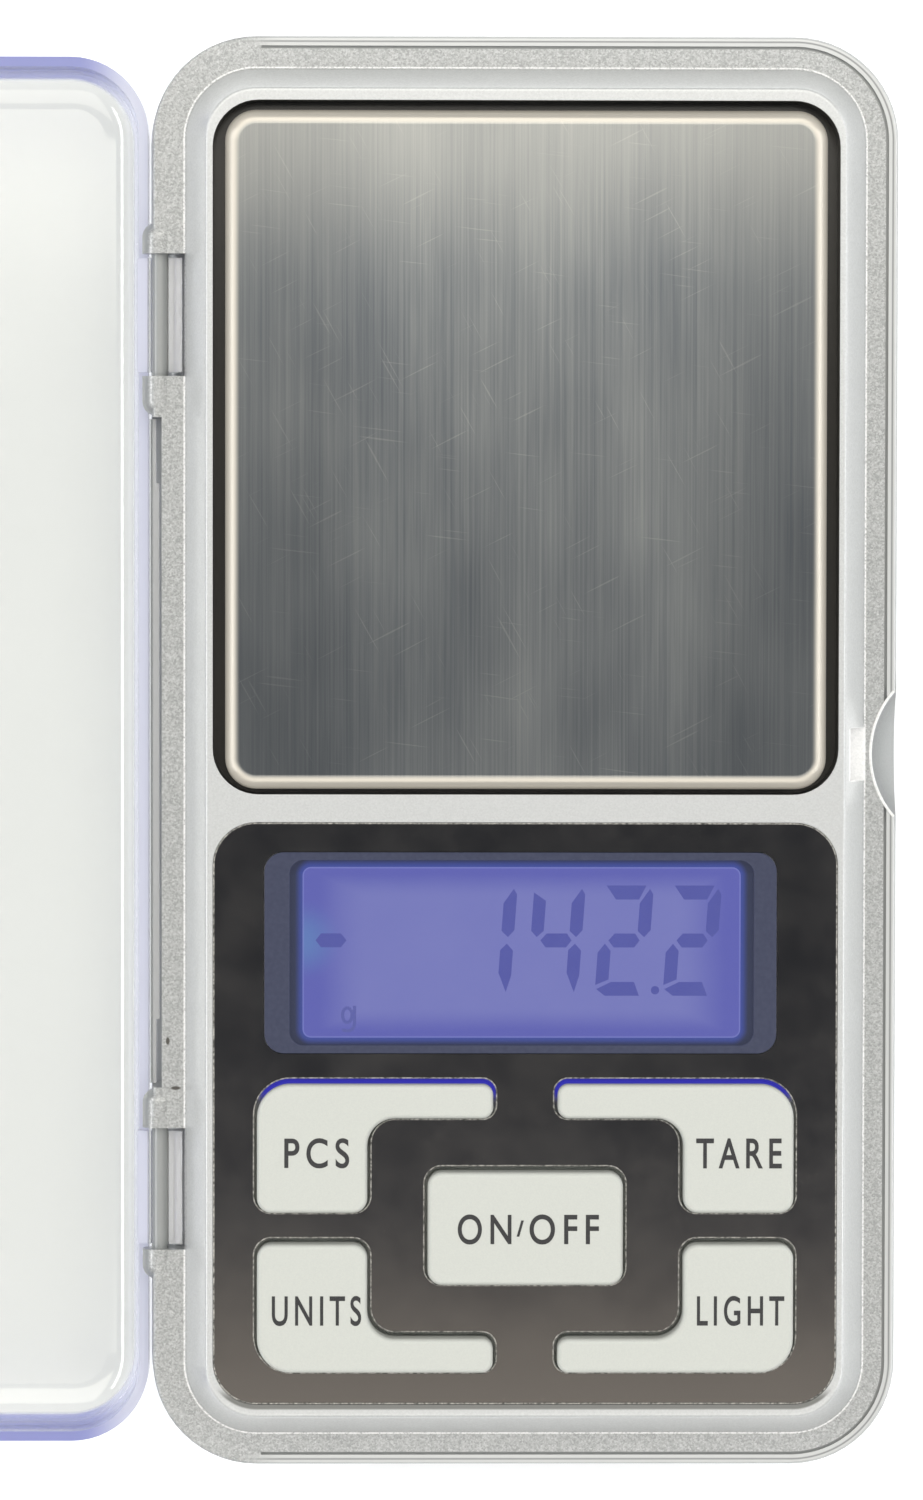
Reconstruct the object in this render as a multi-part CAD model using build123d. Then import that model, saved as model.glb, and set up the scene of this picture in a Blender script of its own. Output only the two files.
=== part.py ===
from build123d import *
import math
import os

# Pocket gram scale: a flat case with a clear hinged lid, a steel weighing pan, and a panel of
# five keys below a display. Sizes are in millimetres. While it is modelled, X = Y = 0 is the
# middle of the case, the hinge is on -X, the pan on +Y, and the feet stand on Z = 0. The lid
# lies open. Export moves everything along X, so that the opened scale is centred on X = 0.

# ---- the case -------------------------------------------------------------------------------
case_width = 62.8            # across X at the parting line
case_length = 120.0          # along Y at the parting line
case_corner = 9.0
foot_stand = 0.8             # air under the case
parting_z = 6.0              # where the two shells meet
step_rise = 3.7              # from the ledge up to the top face
wall = 1.4
flank_lean = 0.37            # how far the upper flank leans in
base_lean = 0.5              # how far the lower flank leans in
base_round = 1.4
rim_round = 0.3
ledge_width = 2.63
ramp_run = 1.9               # the sloped wall between ledge and top face
step_corner = 6.0
ridge_round = 0.4
side_rim = 0.55              # flat of the top face beside the pan and the panel
end_rim = 1.0                # the same, at the two ends
well_corner = 3.8
hinge_wall = 2.5             # the upper shell is thicker on the hinge side
groove_inset = 0.78          # a fine groove round three sides of the rim
groove_width = 0.24
groove_depth = 0.35
groove_start_x = -22.0
tongue_height = 0.8          # the lower shell's lip, which locates the upper one
tongue_wall = 0.8
tongue_gap = 0.15

# ---- finger notch and latch pocket, on +X ---------------------------------------------------
notch_radius = 8.0
notch_depth = 2.15
notch_block = 2.2            # material kept behind the notch
latch_length = 4.4
latch_depth = 1.4            # into the ramp, from its foot

# ---- lid ------------------------------------------------------------------------------------
lid_wall = 0.8
lid_plate = 1.2
lid_height = 7.8
lid_gap = 0.3                # between the closed lid and the step
lid_lift = 0.2               # between the closed lid and the ledge
lid_round = 3.9              # where the lid's walls turn into its top
lid_corner_extra = 0.5       # the lid's corner radius over the step's
flange_length = 55.7         # a rim flange between the two hinges
flange_height = 3.0
flange_inner_length = 45.0   # the middle of the flange, which stands out furthest
flange_step = 0.25
latch_tab_height = 0.8

# ---- hinge ----------------------------------------------------------------------------------
flank_gap = 0.1              # between the open lid's wall and the case
hinge_drop = 1.3             # axis below the ledge
hinge_y = 36.5
pocket_length = 10.2
hook_end_gap = 0.35
barrel_radius = 0.68
barrel_fit = 0.08
hook_wall = 1.12
hook_gap = 0.3               # between the hook and its pocket
hook_wrap = 12.0             # degrees past the half turn
knuckle_radius = 1.45
inner_knuckle = 3.3
outer_knuckle = 2.6
setback_gap = 0.3            # between the open lid's flange and the case

# ---- pan and load cell ----------------------------------------------------------------------
well_length = 57.4
pan_gap = 1.0                # between the pan and its well, at the sides
pan_end_gap = 0.6            # the same, at the ends
pan_set = 0.18               # how far the pan sits towards -Y in its well
pan_proud = 0.4
pan_sheet = 0.5
pan_skirt = 3.0
pan_corner = 2.6
pan_edge = 1.2
carrier_gap = 1.0            # between the carrier and the pan's skirt, clear of its rolled edge
carrier_plate = 1.5
carrier_rib = 1.2
cell_length = 44.0
cell_width = 8.0
cell_height = 6.0
cell_roof_gap = 0.5          # from the gauge cover up to the well's floor
cell_end = 8.5               # length of each end that is bolted down
cell_hole_radius = 2.0
cell_hole_spacing = 12.0
cell_slot = 1.6
cell_screw_spacing = 5.0
cell_screw_radius = 1.25
cell_screw_head = 2.1
screw_head_height = 1.2
neck_gap = 1.5               # round the carrier's neck, in the well's floor
gauge_length = 12.0
gauge_height = 0.6
wire_radius = 0.32
wire_pitch = 0.9
wire_side = 8.5
wire_bend = 1.4

# ---- panel, display and keys ----------------------------------------------------------------
bar = 2.3                    # between the pan's well and the panel
panel_thickness = 0.6
panel_corner = 3.5
panel_fit = 0.1
panel_bed = 0.9              # the shelf of the case that the panel lies on
window_side = 4.7            # panel left on each side of the window
window_top = 2.5
window_height = 16.7
window_corner = 1.6
window_shift = -0.4
window_fit = 0.05
glass_side = 1.9             # window beyond the display glass, on each side
glass_height = 16.0
glass_thickness = 1.0
glass_frame = 0.6
glass_frame_fit = 0.05
backlight_thickness = 0.9
zebra_width = 0.9
key_field_side = 3.4         # panel left beside the key openings
key_field_bottom = 2.65
key_field_height = 24.6
key_width = 9.75             # the broad part of a corner key
key_arm = 3.45
key_divider = 2.0
arm_divider = 4.75
island_x = 4.4               # panel between the middle key and the corner keys
island_y = 3.85
corner_large = 3.1
corner_hollow = 2.0
corner_small = 1.5
corner_arm = 1.2
key_gap = 0.3
key_set = 0.12               # how far the caps sit towards -Y in their openings
key_proud = 1.5
key_round = 0.4
key_flange = 0.5
key_flange_lip = 0.7
key_play = 0.1
dome_height = 0.6
dome_radius = 2.6
board_thickness = 0.8
board_margin = 1.4
board_screw_radius = 0.8
board_screw_head = 1.5
board_boss_radius = 1.3
chip_size = 9.0
chip_thickness = 1.0

# ---- batteries and their door ---------------------------------------------------------------
battery_radius = 5.2
battery_length = 44.5
battery_nub_radius = 1.9
battery_nub = 0.8
battery_side_gap = 0.4       # between the two cells
battery_rest_gap = 0.1       # between the cells and the door
battery_board_gap = 0.2      # between the cells and the circuit board
contact_sheet = 0.3
contact_width = 7.0
contact_height = 7.2
spring_depth = 3.0
bay_wall = 1.0
bay_play = 0.3
bay_wall_height = 7.0
door_sheet = 1.2
door_gap = 0.2
door_tongue = 1.1            # how far the door's side tongues reach under the case's floor
door_tongue_sheet = 0.5
door_end_wall = 1.2
door_grip_count = 5
door_grip_pitch = 1.6

# ---- feet and case screws -------------------------------------------------------------------
foot_radius = 3.2
foot_recess = 0.4
foot_x, foot_y = 21.4, 53.2
case_screw_inset_x = 5.1
case_screw_inset_y = 11.5
case_screw_radius = 1.0
case_screw_head = 1.9
screw_fit = 0.05
post_radius = 2.3

# ---- worked out from the sizes above ----------------------------------------------------------
half_x, half_y = case_width / 2, case_length / 2
base_z = foot_stand
floor_z = base_z + wall
door_top_z = base_z + door_sheet
battery_z = door_top_z + battery_rest_gap + battery_radius
board_low_z = battery_z + battery_radius + battery_board_gap
board_top_z = board_low_z + board_thickness
flange_low_z = board_top_z + dome_height
flange_top_z = flange_low_z + key_flange
bed_low_z = flange_top_z + key_play
panel_low_z = bed_low_z + panel_bed
top_z = panel_low_z + panel_thickness
key_top_z = top_z + key_proud
ledge_z = top_z - step_rise      # the ledge that the closed lid sits on
rim_x, rim_y = half_x - flank_lean, half_y - flank_lean
step_x, step_y = rim_x - ledge_width, rim_y - ledge_width
top_x, top_y = step_x - ramp_run, step_y - ramp_run
opening_x = top_x - side_rim
opening_y = top_y - end_rim
cavity_low_x, cavity_high_x = hinge_wall - half_x, half_x - wall
cavity_y = half_y - wall
roof_z = ledge_z - wall
rim_corner = case_corner - flank_lean

lid_x = step_x + lid_gap + lid_wall
lid_y = step_y + lid_gap + lid_wall
lid_corner = step_corner + lid_corner_extra
lid_rim_z = ledge_z + lid_lift
lid_top_z = lid_rim_z + lid_height
hinge_x = -(lid_x + half_x + flank_gap) / 2
hinge_z = ledge_z - hinge_drop
hinge_axis = Axis((hinge_x, 0, hinge_z), (0, 1, 0))
hook_inner = barrel_radius + barrel_fit
hook_outer = hook_inner + hook_wall
pocket_radius = hook_outer + hook_gap
flange_x = hinge_x + 0.1
setback_x = 2 * hinge_x - flange_x + setback_gap
opened_left = 2 * hinge_x - lid_x
origin_x = (opened_left + half_x) / 2

well_y = opening_y - well_length / 2
pan_x, pan_y = opening_x - pan_gap, well_length / 2 - pan_end_gap
pan_top_z = top_z + pan_proud
cell_y = well_y
cell_seat = roof_z - cell_roof_gap - gauge_height - cell_height
free_end_y = cell_y - cell_length / 2 + cell_end / 2
fixed_end_y = cell_y + cell_length / 2 - cell_end / 2

panel_top_y = opening_y - well_length - bar
panel_bottom_y = -opening_y
panel_y = (panel_top_y + panel_bottom_y) / 2
panel_length = panel_top_y - panel_bottom_y
window_width = 2 * (opening_x - window_side)
window_y = panel_top_y - window_top - window_height / 2
glass_width = window_width - 2 * glass_side
glass_top_z = panel_low_z - key_play
glass_low_z = glass_top_z - glass_thickness
field_half_x = opening_x - key_field_side
field_half_y = key_field_height / 2
field_y = panel_bottom_y + key_field_bottom + field_half_y
middle_half_x = field_half_x - key_width - island_x
middle_half_y = field_half_y - key_arm - island_y
board_x = opening_x - board_margin - 0.75
board_screw_places = [
    (-board_x + 1.6, panel_top_y - 3.4),
    (board_x - 1.6, panel_top_y - 3.4),
    (0, field_y + field_half_y - key_arm / 2),
    (0, field_y - field_half_y + key_arm / 2),
]

battery_pitch = 2 * battery_radius + battery_side_gap
bay_length = battery_length + contact_sheet + spring_depth
bay_low_y = -half_y + base_lean + door_end_wall + door_gap + bay_wall + 0.4
bay_high_y = bay_low_y + bay_length
bay_half_x = battery_pitch / 2 + battery_radius + bay_play
door_half_x = bay_half_x
case_screw_places = [
    (sx * (half_x - case_screw_inset_x), sy * (half_y - case_screw_inset_y))
    for sx in (-1, 1) for sy in (-1, 1)
]
foot_places = [(sx * foot_x, sy * foot_y) for sx in (-1, 1) for sy in (-1, 1)]
case_screw_seat_z = floor_z + 0.3


def rounded(width, length, corner, x=0, y=0):
    """A rounded rectangle lying at (x, y)."""
    return Pos(x, y) * RectangleRounded(width, length, corner)


def slab(outline, low, high, lean=0):
    """An outline stood up from low to high, its sides leaning in by lean over that height."""
    angle = math.degrees(math.atan2(lean, high - low))
    return extrude(Pos(0, 0, low) * outline, high - low, dir=(0, 0, 1), taper=angle)


def block(x0, x1, y0, y1, z0, z1):
    """A box given by its two corners."""
    middle = Pos((x0 + x1) / 2, (y0 + y1) / 2, (z0 + z1) / 2)
    return middle * Box(x1 - x0, y1 - y0, z1 - z0)


def post(x, y, radius, low, high):
    """An upright cylinder."""
    return Pos(x, y, (low + high) / 2) * Cylinder(radius, high - low)


def rod(x, z, radius, y0, y1):
    """A cylinder that lies along Y."""
    return Pos(x, (y0 + y1) / 2, z) * Rot(90, 0, 0) * Cylinder(radius, y1 - y0)


def top_edges(solid):
    return solid.faces().sort_by(Axis.Z)[-1].edges()


def screw(x, y, head_radius, shaft_radius, tip_z, seat_z, head_z):
    """A screw with a cross recess; head_z lies above the seat for a screw driven downwards."""
    low, high = sorted((seat_z, head_z))
    shaft = post(x, y, shaft_radius, *sorted((tip_z, seat_z)))
    head = post(x, y, head_radius, low, high)
    depth = (head_z - seat_z) * 0.6
    slot_low, slot_high = sorted((head_z, head_z - depth))
    arm, width = head_radius * 0.6, head_radius * 0.14
    cross = (block(x - arm, x + arm, y - width, y + width, slot_low, slot_high)
             + block(x - width, x + width, y - arm, y + arm, slot_low, slot_high))
    return shaft + head - cross


# ---- key outlines -----------------------------------------------------------------------------
def corner_key_outline(grow, side, end):
    """The L-shaped outline of a corner key, grown by grow; side and end say which corner."""
    left, right = -field_half_x - grow, -field_half_x + key_width + grow
    high, low = field_half_y + grow, key_divider / 2 - grow
    arm_end, arm_low = -arm_divider / 2 + grow, field_half_y - key_arm - grow
    corners = [
        ((left, high), corner_large + grow),
        ((arm_end, high), corner_arm + grow),
        ((arm_end, arm_low), corner_arm + grow),
        ((right, arm_low), corner_hollow - grow),
        ((right, low), corner_small + grow),
        ((left, low), corner_small + grow),
    ]
    outline = make_face(Polyline([place for place, _ in corners], close=True))
    for (x, y), radius in corners:
        outline = fillet(outline.vertices().sort_by_distance((x, y, 0))[0], radius)
    if side > 0:
        outline = mirror(outline, about=Plane.YZ)
    if end < 0:
        outline = mirror(outline, about=Plane.XZ)
    return Pos(0, field_y) * outline


def middle_key_outline(grow):
    return rounded(2 * (middle_half_x + grow), 2 * (middle_half_y + grow),
                   corner_small + grow, 0, field_y)


def key_outlines(grow):
    """Every key's outline by name, grown by grow."""
    return {
        "key_pcs": corner_key_outline(grow, -1, 1),
        "key_tare": corner_key_outline(grow, 1, 1),
        "key_units": corner_key_outline(grow, -1, -1),
        "key_light": corner_key_outline(grow, 1, -1),
        "key_on_off": middle_key_outline(grow),
    }


dome_places = {
    "key_pcs": (-field_half_x + key_width / 2, field_y + field_half_y / 2),
    "key_tare": (field_half_x - key_width / 2, field_y + field_half_y / 2),
    "key_units": (-field_half_x + key_width / 2, field_y - field_half_y / 2),
    "key_light": (field_half_x - key_width / 2, field_y - field_half_y / 2),
    "key_on_off": (0, field_y),
}


# ---- the two shells ---------------------------------------------------------------------------
def hinge_pockets():
    """Room for the lid's hooks to swing round the hinge barrels."""
    for side in (-1, 1):
        y0, y1 = (side * hinge_y - pocket_length / 2, side * hinge_y + pocket_length / 2)
        turn = rod(hinge_x, hinge_z, pocket_radius, y0, y1)
        above = block(hinge_x - 5, hinge_x + pocket_radius, y0, y1, hinge_z, ledge_z + 1)
        beside = block(hinge_x - 5, hinge_x, y0, y1, hinge_z - pocket_radius, hinge_z + 1)
        yield turn + above + beside


def hinge_knuckles():
    """The rounded lumps at both ends of each barrel, and the barrel between them."""
    for side in (-1, 1):
        inner = side * (hinge_y - pocket_length / 2)
        outer = side * (hinge_y + pocket_length / 2)
        for face, length, away in ((inner, inner_knuckle, -side), (outer, outer_knuckle, side)):
            end = face + away * length
            knuckle = rod(hinge_x, hinge_z, knuckle_radius, *sorted((face, end)))
            rims = knuckle.edges().filter_by(GeomType.CIRCLE)
            far_edge = rims.sort_by_distance((hinge_x, end, hinge_z))[0]
            yield fillet(far_edge, knuckle_radius * 0.85)
        low, high = sorted((inner, outer))
        yield rod(hinge_x, hinge_z, barrel_radius, low - 0.4, high + 0.4)


def make_upper_case():
    body = slab(rounded(case_width, case_length, case_corner), parting_z, ledge_z, flank_lean)
    body = fillet(top_edges(body), rim_round)
    step = slab(rounded(2 * step_x, 2 * step_y, step_corner), ledge_z, top_z, ramp_run)
    step = fillet(top_edges(step), ridge_round)
    outer = body + step

    # the hollow, roofed at the ledge under the pan and higher up under the panel
    cavity_width = cavity_high_x - cavity_low_x
    cavity = slab(rounded(cavity_width, 2 * cavity_y, case_corner - wall,
                          (cavity_low_x + cavity_high_x) / 2), parting_z - 1, roof_z)
    under_panel = block(-opening_x + 0.75, opening_x - 0.75, panel_bottom_y - 0.5,
                        panel_top_y + 0.3, roof_z - 0.1, bed_low_z)
    over_batteries = block(-bay_half_x, bay_half_x, bay_low_y + contact_sheet + 0.5, panel_y,
                           roof_z - 0.1, battery_z + battery_radius + 0.2)
    shell = outer - cavity - under_panel - over_batteries

    # blocks behind the finger notch and the hinge pockets, and the screw posts
    pocket_end = pocket_length / 2 + 1.3
    solid_parts = [block(step_x - notch_block, half_x, -notch_radius, notch_radius,
                         parting_z, ledge_z)]
    for side in (-1, 1):
        solid_parts.append(block(-half_x, hinge_x + pocket_radius + 1.3,
                                 side * hinge_y - pocket_end, side * hinge_y + pocket_end,
                                 hinge_z - pocket_radius - 1.3, ledge_z))
    for x, y in case_screw_places:
        solid_parts.append(post(x, y, post_radius, parting_z, roof_z + 0.2))
    shell = shell + [part & outer for part in solid_parts]
    for x, y in board_screw_places:
        shell += post(x, y, board_boss_radius, board_top_z, bed_low_z + 0.1)

    # hinge side: a set-back between the hinges, pockets, then barrels and knuckles
    setback_end = hinge_y - pocket_length / 2 - inner_knuckle - 0.1
    shell -= block(-half_x - 1, setback_x, -setback_end, setback_end, parting_z - 1, ledge_z + 1)
    shell -= list(hinge_pockets())
    shell += list(hinge_knuckles())

    # finger notch: a round scoop that runs out at the parting line
    drop = ledge_z - parting_z
    tilt = math.degrees(math.atan2(notch_depth + flank_lean, drop))
    scoop = Cylinder(notch_radius, 6 * drop)
    apex_x = rim_x - notch_depth
    shell -= (Pos(apex_x, 0, ledge_z) * Rot(0, -tilt, 0)
              * Pos(notch_radius, 0, 0) * scoop) & block(
                  apex_x - 1, half_x + 20, -20, 20, parting_z - 1, ledge_z + 1)
    # latch pocket in the ramp
    shell -= block(step_x - latch_depth, step_x + 0.1, -latch_length / 2, latch_length / 2,
                   ledge_z, top_z)

    # fine groove round three sides of the rim
    outside = rounded(2 * (rim_x - groove_inset), 2 * (rim_y - groove_inset),
                      rim_corner - groove_inset)
    inset = groove_inset + groove_width
    inside = rounded(2 * (rim_x - inset), 2 * (rim_y - inset), rim_corner - inset)
    groove = slab(outside - inside, ledge_z - groove_depth, ledge_z + 1)
    shell -= groove & block(groove_start_x, half_x, -half_y, half_y, 0, top_z)

    # well for the pan, with a hole for the carrier's neck
    shell -= slab(rounded(2 * opening_x, well_length, well_corner, 0, well_y), ledge_z, top_z + 1)
    neck_x = cell_width / 2 + neck_gap
    shell -= block(-neck_x, neck_x, free_end_y - cell_end / 2 - neck_gap,
                   free_end_y + cell_end / 2 + neck_gap, roof_z - 1, ledge_z + 1)

    # recess and openings for the panel
    shell -= slab(rounded(2 * opening_x, panel_length, panel_corner + panel_fit, 0, panel_y),
                  panel_low_z, top_z + 1)
    frame_x = glass_width / 2 + glass_frame + 2 * glass_frame_fit + 0.1
    frame_y = glass_height / 2 + glass_frame + 2 * glass_frame_fit + 0.1
    shell -= block(window_shift - frame_x, window_shift + frame_x, window_y - frame_y,
                   window_y + frame_y, bed_low_z - 0.1, panel_low_z + 0.1)
    for outline in key_outlines(0.0).values():
        shell -= slab(outline, bed_low_z - 0.1, panel_low_z + 0.1)

    for x, y in board_screw_places:
        shell -= post(x, y, board_screw_radius + screw_fit, board_top_z - 1, bed_low_z + 0.5)
    for x, y in case_screw_places:
        shell -= post(x, y, case_screw_radius + screw_fit, parting_z - 1, roof_z - 0.2)
    return shell


def door_slot():
    """The opening in the floor and end wall that the battery door slides out of."""
    start = -half_y - 1
    end = bay_high_y + door_gap
    low = block(-door_half_x - door_gap, door_half_x + door_gap, start, end,
                base_z - 1, base_z + door_sheet - door_tongue_sheet - 0.1)
    wide = door_half_x + door_tongue + door_gap
    slot = low + block(-wide, wide, start, end,
                       base_z + door_sheet - door_tongue_sheet - 0.1, door_top_z + 0.1)
    over_bay = block(-bay_half_x, bay_half_x, bay_low_y, bay_high_y, base_z, floor_z + 1)
    end_wall = block(-wide, wide, start, -half_y + base_lean + door_end_wall + door_gap,
                     base_z - 1, parting_z + tongue_height + 1)
    return slot + over_bay + end_wall


def make_lower_case():
    below = Pos(0, 0, parting_z) * rounded(case_width, case_length, case_corner)
    lean = math.degrees(math.atan2(base_lean, parting_z - base_z))
    outer = extrude(below, parting_z - base_z, dir=(0, 0, -1), taper=lean)
    outer = fillet(outer.faces().sort_by(Axis.Z)[0].edges(), base_round)

    middle_x = (cavity_low_x + cavity_high_x) / 2
    cavity_width = cavity_high_x - cavity_low_x
    corner = case_corner - wall

    def ring(outer_gap, inner_gap, low, high):
        outline = (rounded(cavity_width - 2 * outer_gap, 2 * (cavity_y - outer_gap),
                           corner - outer_gap, middle_x)
                   - rounded(cavity_width - 2 * inner_gap, 2 * (cavity_y - inner_gap),
                             corner - inner_gap, middle_x))
        return slab(outline, low, high)

    # the base leans in, so the hollow is narrowed by the same amount near the floor
    hollow = slab(rounded(cavity_width - 2 * base_lean, 2 * (cavity_y - base_lean),
                          corner - base_lean, middle_x), floor_z, parting_z + 1)
    shell = outer - hollow
    lip_end = tongue_gap + tongue_wall
    shell += ring(tongue_gap, lip_end, parting_z - 1.2, parting_z + tongue_height)
    # the lip is cut away where the upper shell has its blocks and the screw posts
    pocket_end = pocket_length / 2 + 1.3 + tongue_gap
    shell -= block(step_x - notch_block - tongue_gap, half_x + 1, -notch_radius - tongue_gap,
                   notch_radius + tongue_gap, parting_z, top_z)
    for side in (-1, 1):
        shell -= block(-half_x - 1, hinge_x + pocket_radius + 1.5,
                       side * hinge_y - pocket_end, side * hinge_y + pocket_end,
                       parting_z, top_z)
    for x, y in case_screw_places:
        shell += post(x, y, post_radius, floor_z - 0.1, parting_z)
        shell -= post(x, y, post_radius + 0.2, parting_z, top_z)

    # battery bay: two side walls and two end walls
    bay_top = floor_z + bay_wall_height
    for side in (-1, 1):
        x0, x1 = sorted((side * bay_half_x, side * (bay_half_x + bay_wall)))
        shell += block(x0, x1, bay_low_y - bay_wall, bay_high_y + bay_wall, door_top_z + 0.1,
                       bay_top)
    for y0, y1 in ((bay_low_y - bay_wall, bay_low_y), (bay_high_y, bay_high_y + bay_wall)):
        shell += block(-bay_half_x - 0.5, bay_half_x + 0.5, y0, y1, door_top_z + 0.1, bay_top)

    # seat for the load cell's fixed end
    shell += block(-cell_width / 2 - 1, cell_width / 2 + 1, fixed_end_y - cell_end / 2,
                   fixed_end_y + cell_end / 2, floor_z - 0.1, cell_seat)

    shell -= door_slot()
    for x, y in case_screw_places:
        shell -= post(x, y, case_screw_radius + 0.3, base_z - 1, parting_z + 1)
        shell -= post(x, y, case_screw_head + 0.2, base_z - 1, case_screw_seat_z)
    for y in cell_screw_rows(fixed_end_y):
        shell -= post(0, y, cell_screw_radius + 0.2, base_z - 1, cell_seat + 1)
        shell -= post(0, y, cell_screw_head + 0.2, base_z - 1, base_z + screw_head_height + 0.1)
    for x, y in foot_places:
        shell -= post(x, y, foot_radius + 0.1, base_z - 1, base_z + foot_recess)
    return shell


def make_battery_door():
    """A T-section plate with a turned-up end, which slides out along -Y."""
    start = -half_y + base_lean
    plate = block(-door_half_x, door_half_x, start, bay_high_y, base_z, door_top_z)
    wide = door_half_x + door_tongue
    tongues = block(-wide, wide, start, bay_high_y, door_top_z - door_tongue_sheet, door_top_z)
    end_wall = block(-wide, wide, start, start + door_end_wall, door_top_z - door_tongue_sheet,
                     parting_z - 0.1)
    door = plate + tongues + end_wall
    for i in range(door_grip_count):
        y = start + 8 + i * door_grip_pitch
        door -= block(-6, 6, y, y + door_grip_pitch / 2, base_z - 1, base_z + 0.3)
    return door


# ---- lid --------------------------------------------------------------------------------------
def make_clear_lid():
    """A shallow clear tray, modelled closed and then swung open about the hinge."""
    outer = slab(rounded(2 * lid_x, 2 * lid_y, lid_corner), lid_rim_z, lid_top_z)
    outer = fillet(top_edges(outer), lid_round)
    inner = slab(rounded(2 * (lid_x - lid_wall), 2 * (lid_y - lid_wall), lid_corner - lid_wall),
                 lid_rim_z - 1, lid_top_z - lid_plate)
    inner = fillet(top_edges(inner), lid_round - lid_wall)
    lid = outer - inner

    flange_top = lid_rim_z + flange_height
    lid += block(flange_x + flange_step, -lid_x + 0.1, -flange_length / 2, flange_length / 2,
                 lid_rim_z, flange_top)
    lid += block(flange_x, -lid_x + 0.1, -flange_inner_length / 2, flange_inner_length / 2,
                 lid_rim_z, flange_top)

    # a C-shaped hook round each barrel, carried by a short web below the wall
    hook_half = pocket_length / 2 - hook_end_gap
    for side in (-1, 1):
        y0, y1 = side * hinge_y - hook_half, side * hinge_y + hook_half
        web = block(hinge_x + hook_inner * 0.5, hinge_x + hook_outer, y0, y1, hinge_z,
                    lid_rim_z + 0.6)
        tube = rod(hinge_x, hinge_z, hook_outer, y0, y1)
        below = block(hinge_x - 5, hinge_x + 5, y0 - 1, y1 + 1, hinge_z - 5, hinge_z)
        tip = Pos(hinge_x, 0, hinge_z) * Rot(0, -hook_wrap, 0) * Pos(-hinge_x, 0, -hinge_z) * below
        hook = tube - (below & tip)
        hook -= block(hinge_x, hinge_x + 5, y0 - 1, y1 + 1, hinge_z - 5, hinge_z)
        lid += (hook + web) - rod(hinge_x, hinge_z, hook_inner, y0 - 1, y1 + 1)

    # latch tab on the far wall
    tab_half = latch_length / 2 - 0.3
    tab_x = step_x - latch_depth + 0.4
    lid += block(tab_x, lid_x - lid_wall + 0.1, -tab_half, tab_half, lid_rim_z + 0.3,
                 lid_rim_z + 0.3 + latch_tab_height)
    return lid.rotate(hinge_axis, 180)


# ---- pan and load cell --------------------------------------------------------------------------
def make_weighing_pan():
    """Pressed steel sheet, its edge rolled over into a skirt."""
    low = pan_top_z - pan_skirt
    pan_mid = well_y - pan_set
    outer = slab(rounded(2 * pan_x, 2 * pan_y, pan_corner, 0, pan_mid), low, pan_top_z)
    outer = fillet(top_edges(outer), pan_edge)
    inner = slab(rounded(2 * (pan_x - pan_sheet), 2 * (pan_y - pan_sheet),
                         pan_corner - pan_sheet, 0, pan_mid), low - 1, pan_top_z - pan_sheet)
    inner = fillet(top_edges(inner), pan_edge - pan_sheet)
    return outer - inner


def cell_screw_rows(end_y):
    return [end_y - cell_screw_spacing / 2 + 0.3, end_y + cell_screw_spacing / 2 - 0.3]


def make_pan_carrier():
    """A ribbed plate inside the pan, whose neck stands on the load cell's free end."""
    top = pan_top_z - pan_sheet
    half_w = pan_x - pan_sheet - carrier_gap
    half_l = pan_y - pan_sheet - carrier_gap
    corner = pan_corner - pan_sheet - carrier_gap
    plate = slab(rounded(2 * half_w, 2 * half_l, corner, 0, well_y), top - carrier_plate, top)
    rib_low = pan_top_z - pan_skirt + 0.2
    rib = slab(rounded(2 * half_w, 2 * half_l, corner, 0, well_y)
               - rounded(2 * (half_w - carrier_rib), 2 * (half_l - carrier_rib),
                         corner, 0, well_y), rib_low, top - carrier_plate + 0.1)
    carrier = plate + rib
    for x in (-1, 1):
        carrier += block(x * cell_width / 2 - 0.6, x * cell_width / 2 + 0.6,
                         free_end_y, well_y + half_l - 0.5, rib_low, top - carrier_plate + 0.1)
    carrier += block(-cell_width / 2, cell_width / 2, free_end_y - cell_end / 2,
                     free_end_y + cell_end / 2, cell_seat + cell_height, top)
    for y in cell_screw_rows(free_end_y):
        carrier -= post(0, y, cell_screw_radius + 0.15, cell_seat, top + 1)
        carrier -= post(0, y, cell_screw_head + 0.15, top - screw_head_height - 0.2, top + 1)
    return carrier


def make_load_cell():
    """A bar with a dog-bone hole, which makes its middle a parallel bending beam."""
    cell_top = cell_seat + cell_height
    bar_ = block(-cell_width / 2, cell_width / 2, cell_y - cell_length / 2,
                 cell_y + cell_length / 2, cell_seat, cell_top)
    mid_z = cell_seat + cell_height / 2
    for side in (-1, 1):
        hole = Pos(0, cell_y + side * cell_hole_spacing / 2, mid_z) * Rot(0, 90, 0)
        bar_ -= hole * Cylinder(cell_hole_radius, cell_width + 2)
    bar_ -= block(-cell_width, cell_width, cell_y - cell_hole_spacing / 2,
                  cell_y + cell_hole_spacing / 2, mid_z - cell_slot / 2, mid_z + cell_slot / 2)
    for y in cell_screw_rows(fixed_end_y) + cell_screw_rows(free_end_y):
        bar_ -= post(0, y, cell_screw_radius + screw_fit, cell_seat - 1, cell_top + 1)
    return bar_


def make_load_cell_screws():
    tip = cell_seat + cell_height - 1
    return Compound([
        screw(0, y, cell_screw_head, cell_screw_radius, tip, base_z + screw_head_height + 0.1,
              base_z + 0.1)
        for y in cell_screw_rows(fixed_end_y)
    ])


def make_carrier_screws():
    seat = pan_top_z - pan_sheet - screw_head_height - 0.2
    return Compound([
        screw(0, y, cell_screw_head, cell_screw_radius, cell_seat + 1, seat,
              seat + screw_head_height)
        for y in cell_screw_rows(free_end_y)
    ])


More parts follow.
